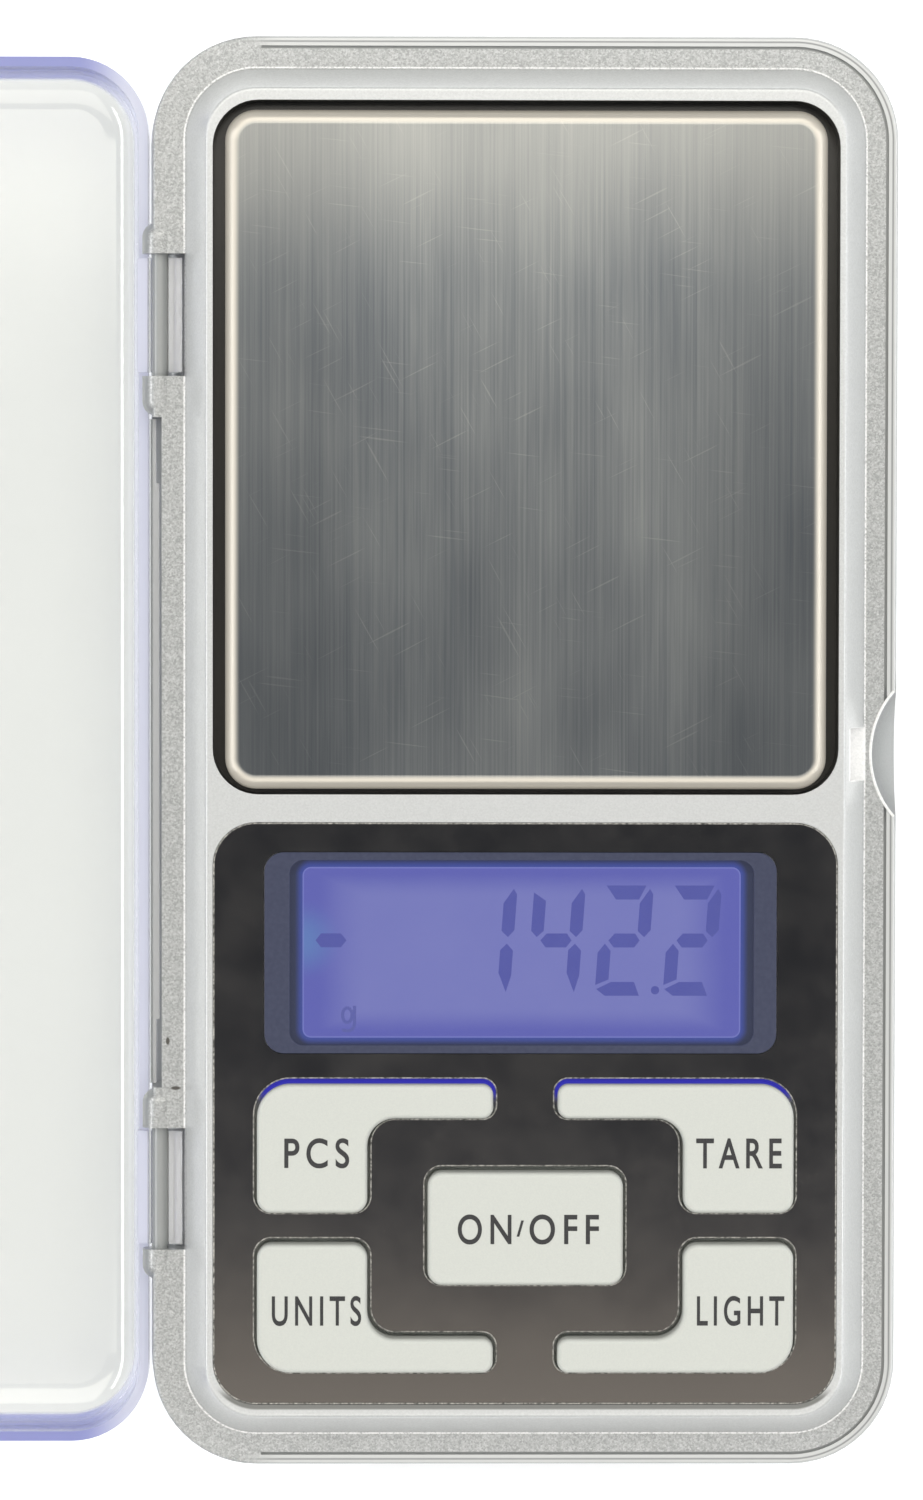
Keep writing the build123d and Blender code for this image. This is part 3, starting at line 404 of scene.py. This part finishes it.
lit_film, tree, place = new_finish("lit_polariser")
centred = add(tree, "Mapping", Vector=place, Location=(-lit_x, -lit_y, 0)).outputs[0]
sides = add(tree, "SeparateXYZ", Vector=centred)
side_shade = fade(tree, math_of(tree, "ABSOLUTE", sides.outputs["X"]),
                  lit_width / 2 - 5.5 * mm, lit_width / 2)
end_shade = fade(tree, math_of(tree, "ABSOLUTE", sides.outputs["Y"]),
                 lit_length / 2 - 2.6 * mm, lit_length / 2)
shade = math_of(tree, "MAXIMUM", side_shade, end_shade)
blotch = add(tree, "TexNoise", Vector=place, Scale=1 / (5 * mm), Detail=2.0).outputs["Fac"]
shade = math_of(tree, "MULTIPLY_ADD", blotch, 0.25, shade)
lamp = add(tree, "VectorMath", {"operation": "DISTANCE"}, i0=centred,
           i1=(-lit_width / 2, 1.0 * mm, glass_high.z)).outputs["Value"]
glow = two_tone(tree, shade, 0.05, 1.05, "#8285d3", "#5c5ec4")
lamp = fade(tree, lamp, 0.3 * mm, 3.6 * mm, 0.6, 0.0)
glow = blend_colour(tree, lamp, glow, linear("#5f98d4"))
border = inset_from(tree, place, *lit_outline)
border = fade(tree, border, 0.16 * mm, 0.06 * mm, 0.0, 0.6)
glow = blend_colour(tree, border, glow, linear("#8e94e6"))
show(tree, add(tree, "BsdfPrincipled", Base_Color=linear("#14141c"), Roughness=0.5,
               Emission_Color=glow, Emission_Strength=1.0).outputs[0])
polariser.data.materials.append(lit_film)
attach(polariser, "case")

# ---- number on the display --------------------------------------------------------------------
# Seven-segment digits in the liquid crystal, 9.2 mm high and leaning by 4 degrees, with a minus
# sign at the left, a point, and a faint g for grams. Each is a thin film on the polariser.
digit_height, digit_width, digit_pitch, digit_slope = 9.18 * mm, 4.27 * mm, 5.66 * mm, 0.072
segment_low = glass_high.z + film_thickness
segment_high = segment_low + film_thickness
minus_sign = [(0, 0), (0.45, 0.58), (2.1, 0.58), (2.57, 0), (2.1, -0.58), (0.45, -0.58)]
w, h = digit_width / mm, digit_height / mm
segments = {  # outlines in mm, from a digit's lower left corner
    "top": [(0.33, h), (w - 0.62, h), (w - 1.15, h - 1.17), (1.2, h - 1.17)],
    "upper_right": [(w - 0.3, h - 0.28), (w, h - 0.75), (w, 5.46), (w - 0.5, 4.88),
                    (w - 1.07, 5.39), (w - 1.07, 7.7)],
    "upper_left": [(0, 8.6), (1.05, 7.9), (1.05, 5.4), (0.5, 4.88), (0, 5.39)],
    "middle": [(0.82, 4.6), (1.3, 5.18), (3.0, 5.18), (3.42, 4.6), (3.0, 4.02), (1.3, 4.02)],
    "lower_right": [(w - 0.55, 4.33), (w, 3.75), (w, 1.7), (w - 0.35, 0.3), (w - 1.07, 1.9),
                    (w - 1.07, 3.8)],
    "lower_left": [(0.55, 4.33), (1.07, 3.73), (1.07, 1.35), (0, 0.9), (0, 3.6)],
    "bottom": [(0.1, 0.55), (0.85, 0), (3.7, 0), (3.2, 1.15), (1.3, 1.15)],
}
digit_segments = {
    "1": ["upper_right", "lower_right"],
    "4": ["upper_left", "middle", "upper_right", "lower_right"],
    "2": ["top", "upper_right", "middle", "lower_left", "bottom"],
}


def cut_film(name, outlines, low, high):
    """Flat outlines, in metres, raised from low to high as one piece."""
    bpy.ops.object.select_all(action="DESELECT")
    bpy.ops.mesh.primitive_circle_add(vertices=3, radius=mm, location=(0, 0, 0))
    made = bpy.context.object
    made.name = name
    shape = bmesh.new()
    for outline in outlines:
        shape.faces.new([shape.verts.new((x, y, low)) for x, y in outline])
    bmesh.ops.recalc_face_normals(shape, faces=shape.faces)
    shape.to_mesh(made.data)
    shape.free()
    bpy.ops.object.mode_set(mode="EDIT")
    bpy.ops.mesh.select_all(action="SELECT")
    bpy.ops.mesh.extrude_region_move(TRANSFORM_OT_translate={"value": (0, 0, high - low)})
    bpy.ops.mesh.select_all(action="SELECT")
    bpy.ops.mesh.normals_make_consistent(inside=False)
    close_edit()
    return made


digit_left = lit_x + lit_width / 2 - 6.15 * mm
digit_low = lit_y - lit_length / 2 + 3.5 * mm
outlines = []  # the digits from the right, then the point and the minus sign
for count, digit in enumerate(reversed("1422")):
    for part in digit_segments[digit]:
        outlines.append([(digit_left - count * digit_pitch + x * mm
                          + (y * mm - digit_height / 2) * digit_slope, digit_low + y * mm)
                         for x, y in segments[part]])
point_x, point_y, point_radius = digit_left - 0.95 * mm, digit_low + 0.46 * mm, 0.35 * mm
outlines.append([(point_x + point_radius * math.cos(a * math.pi / 8),
                  point_y + point_radius * math.sin(a * math.pi / 8)) for a in range(16)])
minus_x, minus_y = lit_x - lit_width / 2 + 1.08 * mm, digit_low + 4.6 * mm
outlines.append([(minus_x + x * mm, minus_y + y * mm) for x, y in minus_sign])
number = cut_film("display_number", outlines, segment_low, segment_high)

crystal, tree, place = new_finish("dark_liquid_crystal")
blotch = add(tree, "TexNoise", Vector=place, Scale=1 / (3 * mm), Detail=2.0).outputs["Fac"]
blotch = two_tone(tree, blotch, 0.3, 0.7, "#484cb0", "#4d52b4")
show(tree, add(tree, "BsdfPrincipled", Base_Color=linear("#101018"), Roughness=0.5,
               Emission_Color=blotch, Emission_Strength=1.0).outputs[0])
number.data.materials.append(crystal)
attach(number, "case")


def strokes(path, width):
    """Quads of one width along a path."""
    quads = []
    for (x0, y0), (x1, y1) in zip(path, path[1:]):
        length = math.hypot(x1 - x0, y1 - y0)
        side_x, side_y = (y1 - y0) / length * width / 2, (x0 - x1) / length * width / 2
        quads.append([(x0 + side_x, y0 + side_y), (x1 + side_x, y1 + side_y),
                      (x1 - side_x, y1 - side_y), (x0 - side_x, y0 - side_y)])
    return quads


unit_x, unit_y, unit_stroke = lit_x - lit_width / 2 + 3.2 * mm, lit_y - 6.65 * mm, 0.27 * mm
bowl = [(0.52 + 0.4 * math.cos(a * math.pi / 8), 1.42 + 0.62 * math.sin(a * math.pi / 8))
        for a in range(17)]
tail = [(1.12, 2.2), (1.12, 0.7), (1.05, 0.38), (0.85, 0.17), (0.55, 0.1), (0.1, 0.2)]
outlines = [[(unit_x + x * mm, unit_y + y * mm) for x, y in quad]
            for path in (bowl, tail) for quad in strokes(path, unit_stroke / mm)]
unit = cut_film("display_unit", outlines, segment_low, segment_high)
faint_crystal, tree, place = new_finish("faint_liquid_crystal")
blotch = add(tree, "TexNoise", Vector=place, Scale=1 / (3 * mm), Detail=2.0).outputs["Fac"]
blotch = two_tone(tree, blotch, 0.3, 0.7, "#585cb2", "#5c60b6")
show(tree, add(tree, "BsdfPrincipled", Base_Color=linear("#101018"), Roughness=0.5,
               Emission_Color=blotch, Emission_Strength=1.0).outputs[0])
unit.data.materials.append(faint_crystal)
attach(unit, "case")

# ---- panel ------------------------------------------------------------------------------------
# A sheet of black mirror acrylic in a pocket of the upper shell. It is stamped out, so that
# each opening has a fine rough silver edge.
mirror, tree, place = new_finish("black_mirror_acrylic")
haze = add(tree, "TexNoise", Vector=place, Scale=1 / (6 * mm), Detail=5.0,
           Roughness=0.6).outputs["Fac"]
dust = add(tree, "TexVoronoi", Vector=place, Scale=1 / (0.5 * mm)).outputs["Distance"]
dust = fade(tree, dust, 0.16, 0.05)
few = add(tree, "TexNoise", Vector=place, Scale=1 / (1.3 * mm), Detail=1.0).outputs["Fac"]
dust = product(tree, dust, fade(tree, few, 0.52, 0.62, 0.0, 0.35))
black = two_tone(tree, haze, 0.2, 0.9, "#5b5a5c", "#656361")
# painted reflection: the mirror is lighter and warmer towards its lower end
down = add(tree, "SeparateXYZ", Vector=place).outputs["Y"]
black = blend_colour(tree, fade(tree, down, -36 * mm, -52 * mm), black, linear("#7a7570"))
black = blend_colour(tree, dust, black, linear("#a8a49c"))
show(tree, add(tree, "BsdfPrincipled", Base_Color=black, Metallic=1.0,
               Roughness=fade(tree, haze, 0.2, 0.8, 0.15, 0.22)).outputs[0])
give(mirror, "face_plate")

# Where the die came through, the panel's outer edge and its key openings have a thin raised
# edge.
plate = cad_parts["face_plate"]
plate_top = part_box("face_plate")[1].z
burr_radius = 0.065 * mm
bpy.ops.object.select_all(action="DESELECT")
shape = bmesh.new()
shape.from_mesh(plate.data)
bmesh.ops.remove_doubles(shape, verts=shape.verts, dist=0.001 * mm)
window_low, window_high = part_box("display_window")
points, steps = {}, []
for edge in shape.edges:
    middle = (edge.verts[0].co + edge.verts[1].co) / 2
    by_window = (window_low.x - mm < middle.x < window_high.x + mm
                 and window_low.y - mm < middle.y < window_high.y + mm)
    if (min(v.co.z for v in edge.verts) > plate_top - 0.01 * mm and not by_window
            and any(abs(f.normal.z) < 0.5 for f in edge.link_faces)):
        steps.append([points.setdefault(tuple(v.co), len(points)) for v in edge.verts])
outline_mesh = bpy.data.meshes.new("panel_edge")
outline_mesh.from_pydata(list(points), steps, [])
shape.free()
burr = bpy.data.objects.new("panel_edge", outline_mesh)
bpy.context.scene.collection.objects.link(burr)
bpy.context.view_layer.objects.active = burr
burr.select_set(True)
bpy.ops.object.convert(target="CURVE")
burr = bpy.context.object
burr.data.bevel_depth = burr_radius
burr.data.bevel_resolution = 1
bpy.ops.object.convert(target="MESH")
burr = bpy.context.object
burr.name = "panel_edge"
stamped = mottled("stamped_edge", 0.3 * mm, 3.0, "#5c5c59", "#cac8c2", 0.35, 0.65,
                  Metallic=0.5, Roughness=0.5)
burr.data.materials.append(stamped)
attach(burr, "case")

# ---- display window ---------------------------------------------------------------------------
# A pane of smoked acrylic set flush in the panel, clear enough to read the display through.
# Round the display it has an opaque printed border.
smoked, tree, place = new_finish("smoked_acrylic")
clear_side, clear_end, clear_corner = 1.08 * mm, 0.62 * mm, 1.2 * mm
opening = inset_from(tree, place, (lit_x, lit_y), lit_width / 2 + clear_side,
                     lit_length / 2 + clear_end, clear_corner)
printed = fade(tree, opening, 0.04 * mm, -0.04 * mm)
haze = add(tree, "TexNoise", Vector=place, Scale=1 / (0.35 * mm), Detail=3.0).outputs["Fac"]
border = two_tone(tree, haze, 0.3, 0.75, "#42465a", "#484c60")
tint = blend_colour(tree, printed, linear("#5a6080"), border)
cover = add(tree, "MapRange", Value=printed, To_Min=0.22, To_Max=1.0).outputs["Result"]
gloss = add(tree, "MapRange", Value=haze, To_Min=0.1, To_Max=0.2).outputs["Result"]
show(tree, add(tree, "BsdfPrincipled", Base_Color=tint, IOR=1.49, Alpha=cover,
               Roughness=gloss).outputs[0])
give(smoked, "display_window")

# ---- keys -------------------------------------------------------------------------------------
# Five keys moulded in ivory ABS with a satin skin, which press on the board's snap domes.
# Their uses are printed on them in dark grey.
ivory, tree, place = new_finish("ivory_abs")
grain = add(tree, "TexNoise", Vector=place, Scale=1 / (0.12 * mm), Detail=2.0).outputs["Fac"]
bumps = add(tree, "Bump", Height=grain, Strength=0.15, Distance=0.01 * mm).outputs["Normal"]
# blue light from the display falls on the sides of the two upper keys, deep in their openings
sides = add(tree, "SeparateXYZ", Vector=place)
lit_side = product(tree, fade(tree, sides.outputs["Z"], 16.9 * mm, 16.3 * mm),
                   fade(tree, sides.outputs["Y"], -29.0 * mm, -28.0 * mm))
skin = two_tone(tree, grain, 0.3, 0.7, "#c8cbc6", "#cdd0ca")
skin = blend_colour(tree, lit_side, skin, linear("#14142e"))
side_light = two_tone(tree, lit_side, 0.0, 1.0, "#000000", "#302ea0")
show(tree, add(tree, "BsdfPrincipled", Base_Color=skin, Roughness=0.42, Normal=bumps,
               Emission_Color=side_light, Emission_Strength=1.0).outputs[0])
keys = ["pcs", "tare", "units", "light", "on_off"]
give(ivory, *["key_" + key for key in keys])

ink = mottled("dark_grey_ink", 0.1 * mm, 2.0, "#242426", "#38383a", Roughness=0.6)
letter_height, ink_thickness, letter_weight, letter_spacing = 2.5 * mm, 0.02 * mm, 0.012, 1.35
key_low, key_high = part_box("key_on_off")
key_mid_x, key_mid_y = (key_low.x + key_high.x) / 2, (key_low.y + key_high.y) / 2
tick = [(-0.3, -0.75), (-0.08, -0.75), (0.3, 0.6), (0.08, 0.6)]  # the stroke of ON/OFF, in mm
prints = {  # the words, where each starts and ends along X from the middle, and its middle in Y
    "pcs": [("PCS", -19.97, -14.6, 6.18)],
    "tare": [("TARE", 14.15, 21.25, 6.18)],
    "units": [("UNITS", -21.0, -13.6, -6.93)],
    "light": [("LIGHT", 14.25, 21.5, -6.93)],
    "on_off": [("ON", -5.6, -1.15, -0.15), ("OFF", 0.35, 6.1, -0.15)],
}


def lettering(name, text, low, high, floor_z, thickness, weight, spacing):
    """Letters as a mesh that fills the box from low to high on a flat face at floor_z."""
    bpy.ops.object.select_all(action="DESELECT")
    bpy.ops.object.text_add(location=(0, 0, 0))
    made = bpy.context.object
    made.name = name
    made.data.body = text
    made.data.size = 1.0
    made.data.offset = weight
    made.data.space_character = spacing
    made.data.extrude = 0.5
    bpy.ops.object.convert(target="MESH")
    made = bpy.context.object
    corners = [Vector(c) for c in made.bound_box]
    least = Vector([min(c[i] for c in corners) for i in range(3)])
    most = Vector([max(c[i] for c in corners) for i in range(3)])
    size = most - least
    made.data.transform(Matrix.Translation(-least))
    made.data.transform(Matrix.Diagonal(((high[0] - low[0]) / size.x, (high[1] - low[1]) / size.y,
                                         thickness / size.z, 1)))
    made.data.transform(Matrix.Translation((low[0], low[1], floor_z)))
    return made


for key in keys:
    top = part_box("key_" + key)[1].z
    words = []
    for word, start, end, middle in prints[key]:
        low_y = key_mid_y + middle * mm - letter_height / 2
        words.append(lettering("legend_" + key + "_" + word, word,
                               (key_mid_x + start * mm, low_y),
                               (key_mid_x + end * mm, low_y + letter_height),
                               top, ink_thickness, letter_weight, letter_spacing))
    if key == "on_off":
        tick_x = key_mid_x - 0.42 * mm
        outline = [(tick_x + x * mm, key_mid_y + y * mm) for x, y in tick]
        words.append(cut_film("legend_tick", [outline], top, top + ink_thickness))
    for word in words:
        word.data.materials.append(ink)
        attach(word, key + "_button")

# ---- weighing pan -----------------------------------------------------------------------------
# A tray of stainless sheet with a rolled edge, which rests on the load cell's carrier. It is
# brushed along Y, scuffed and a little cloudy.
pan_low, pan_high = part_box("weighing_pan")
pan_mid, pan_half = (pan_low + pan_high) / 2, (pan_high - pan_low) / 2
scratches = ((0.5, 3.0), (-1.1, 7.0), (1.45, 11.0))  # each set's turn, and its shift in mm


def along_y(tree, place, squeeze, size, roughness=0.5):
    """Noise of this size, drawn out along Y."""
    drawn = add(tree, "Mapping", Vector=place, Scale=(1, squeeze, 1)).outputs[0]
    return add(tree, "TexNoise", Vector=drawn, Scale=1 / size, Detail=2.0,
               Roughness=roughness).outputs["Fac"]


brushed, tree, place = new_finish("brushed_stainless")
brush = along_y(tree, place, 0.003, 0.18 * mm, 0.65)
short_brush = along_y(tree, place, 0.03, 0.16 * mm)
cloud = along_y(tree, place, 0.4, 9 * mm)
tone = math_of(tree, "MULTIPLY", cloud, 0.6)
tone = math_of(tree, "MULTIPLY_ADD", brush, 0.6, tone)
tone = math_of(tree, "MULTIPLY_ADD", short_brush, 0.22, tone)
for turn, shift in scratches:
    scratch = add(tree, "Mapping", {"vector_type": "TEXTURE"}, Vector=place,
                  Rotation=(0, 0, turn), Location=(shift * mm, 0, 0), Scale=(1, 30, 1)).outputs[0]
    scratch = add(tree, "TexNoise", Vector=scratch, Scale=1 / (0.2 * mm),
                  Detail=0.0).outputs["Fac"]
    tone = math_of(tree, "ADD", tone, fade(tree, scratch, 0.76, 0.84, 0.0, 0.2))
steel = two_tone(tree, tone, 0.45, 0.97, "#777c81", "#a7a9a7")
# painted shade: the flat is darker towards its sides
outwards = add(tree, "VectorMath", {"operation": "SUBTRACT"}, i0=place, i1=pan_mid).outputs[0]
outwards = math_of(tree, "ABSOLUTE", add(tree, "SeparateXYZ", Vector=outwards).outputs["X"])
outwards = fade(tree, outwards, 8 * mm, 22 * mm, 0.0, 0.4)
steel = blend_colour(tree, outwards, steel, linear("#50555a"))
# painted reflection: the end furthest from the display is lighter and warmer
sides = add(tree, "SeparateXYZ", Vector=place)
far_end_reflection = fade(tree, sides.outputs["Y"], 38 * mm, 53 * mm, 0.0, 0.3)
steel = blend_colour(tree, far_end_reflection, steel, linear("#d2d0c8"))
# painted highlight: the rolled edge is paler and warmer than the flat, and made less metallic
edge = inset_from(tree, place, pan_mid, pan_half.x, pan_half.y, 2.6 * mm)
edge = product(tree, fade(tree, edge, 1.3 * mm, 0.75 * mm),
               fade(tree, sides.outputs["Z"], pan_high.z - 1.2 * mm, pan_high.z - 0.8 * mm))
steel = blend_colour(tree, edge, steel, linear("#dad4c8"))
metal = math_of(tree, "MULTIPLY_ADD", edge, -0.6, 1.0)
gloss = add(tree, "MapRange", Value=cloud, From_Min=0.1, From_Max=0.9, To_Min=0.285,
            To_Max=0.35).outputs["Result"]
bumps = add(tree, "Bump", Height=brush, Strength=0.1, Distance=0.01 * mm).outputs["Normal"]
across = add(tree, "Tangent", {"direction_type": "RADIAL", "axis": "Y"}).outputs[0]
show(tree, add(tree, "BsdfPrincipled", Base_Color=steel, Metallic=metal, Roughness=gloss,
               Anisotropic=0.8, Tangent=across, Normal=bumps).outputs[0])
give(brushed, "weighing_pan")

# ---- lid --------------------------------------------------------------------------------------
# One piece of clear polished polystyrene, which turns on two moulded C-shaped hooks. Light
# gathers in its walls, which look lavender.
lid_low, lid_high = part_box("clear_lid")
lid_left, lid_right = lid_low.x, -1.95 * mm  # only the hooks reach further right
lid_mid = Vector(((lid_left + lid_right) / 2, (lid_low.y + lid_high.y) / 2, 0))
lid_half = Vector(((lid_right - lid_left) / 2, (lid_high.y - lid_low.y) / 2, 0))
lid_corner = 7.0 * mm
clear, tree, place = new_finish("clear_polystyrene")
inset = inset_from(tree, place, lid_mid, lid_half.x, lid_half.y, lid_corner)
sides = add(tree, "SeparateXYZ", Vector=place)
edge = product(tree, fade(tree, inset, 1.25 * mm, 0.75 * mm),
               fade(tree, sides.outputs["X"], lid_right + 0.1 * mm, lid_right - 0.1 * mm))
by_hinge = fade(tree, sides.outputs["X"], lid_right - 6 * mm, lid_right - 1 * mm)
edge_tint = blend_colour(tree, by_hinge, linear("#9aa0da"), linear("#e6e9fa"))
tint = blend_colour(tree, edge, linear("#dfe0dc"), edge_tint)
hooks = fade(tree, sides.outputs["X"], lid_right + 0.2 * mm, lid_right + 0.4 * mm)
tint = blend_colour(tree, hooks, tint, linear("#f6f6f4"))
glassy = add(tree, "MapRange", Value=edge, To_Min=1.0, To_Max=0.35).outputs["Result"]
glassy = math_of(tree, "MULTIPLY_ADD", hooks, -0.3, glassy)
solid = add(tree, "BsdfPrincipled", Base_Color=tint, Roughness=0.1, IOR=1.59,
            Transmission_Weight=glassy).outputs[0]
through = add(tree, "BsdfTransparent", Color=linear("#f0f0f4")).outputs[0]
shadow = add(tree, "LightPath").outputs["Is Shadow Ray"]
show(tree, add(tree, "MixShader", Fac=shadow, i1=solid, i2=through).outputs[0])
give(clear, "clear_lid")

# ---- table and light --------------------------------------------------------------------------
# A plain white table. Two large softboxes hang over it, one past each end of the scale, with a
# dark gap between them where the camera looks down, and two narrower ones stand at the sides.
bpy.ops.object.select_all(action="DESELECT")
bpy.ops.mesh.primitive_plane_add(size=3.0, location=(0, 0, cad_box[0][2]))
table = bpy.context.object
table.name = "table"
white = mottled("white_table", 30 * mm, 2.0, "#f4f6f8", "#f7f9fb", Roughness=0.9,
                Emission_Color=linear("#ffffff"), Emission_Strength=0.32)
table.data.materials.append(white)

world = bpy.data.worlds.new("studio")
world.use_nodes = True
sky = world.node_tree.nodes["Background"]
sky.inputs["Color"].default_value = linear("#666a70")
sky.inputs["Strength"].default_value = 1.0
bpy.context.scene.world = world

softboxes = [  # name, place, what it faces, its two sizes, brightness, colour
    ("softbox_far", (0.0, 0.69, 1.0), (0, 0.55, 0), 1.6, 1.2, 1.9, "#fffbf2"),
    ("softbox_near", (0.0, -0.80, 1.0), (0, -0.65, 0), 1.6, 1.2, 1.35, "#fffaf2"),
    ("softbox_left", (-1.25, 0.0, 0.8), (0, 0, 0), 1.6, 0.2, 8.0, "#ffffff"),
    ("softbox_right", (1.25, 0.0, 0.8), (0, 0, 0), 1.6, 0.2, 8.0, "#ffffff"),
]
for name, spot, aim, length, width, radiance, colour in softboxes:
    bpy.ops.object.select_all(action="DESELECT")
    bpy.ops.object.light_add(type="AREA", location=spot)
    box = bpy.context.object
    box.name = name
    box.rotation_euler = (Vector(aim) - Vector(spot)).to_track_quat("-Z", "Y").to_euler()
    box.data.shape = "RECTANGLE"
    box.data.size, box.data.size_y = length, width
    box.data.energy = radiance * math.pi * length * width
    box.data.color = linear(colour)[:3]

# ---- camera -----------------------------------------------------------------------------------
# A long lens looks almost straight down from half a metre. The camera is above the left half
# of the pan.
camera_place = (17.75 * mm, 18.2 * mm, 511 * mm)
camera_turn = [math.radians(angle) for angle in (-2.061, -0.746, 0.087)]
bpy.ops.object.camera_add(location=camera_place, rotation=camera_turn)
camera = bpy.context.object
camera.data.lens = 143.4
camera.data.sensor_width = 36.0
camera.data.clip_start = 0.01
bpy.context.scene.camera = camera
bpy.context.scene.view_settings.view_transform = "Standard"
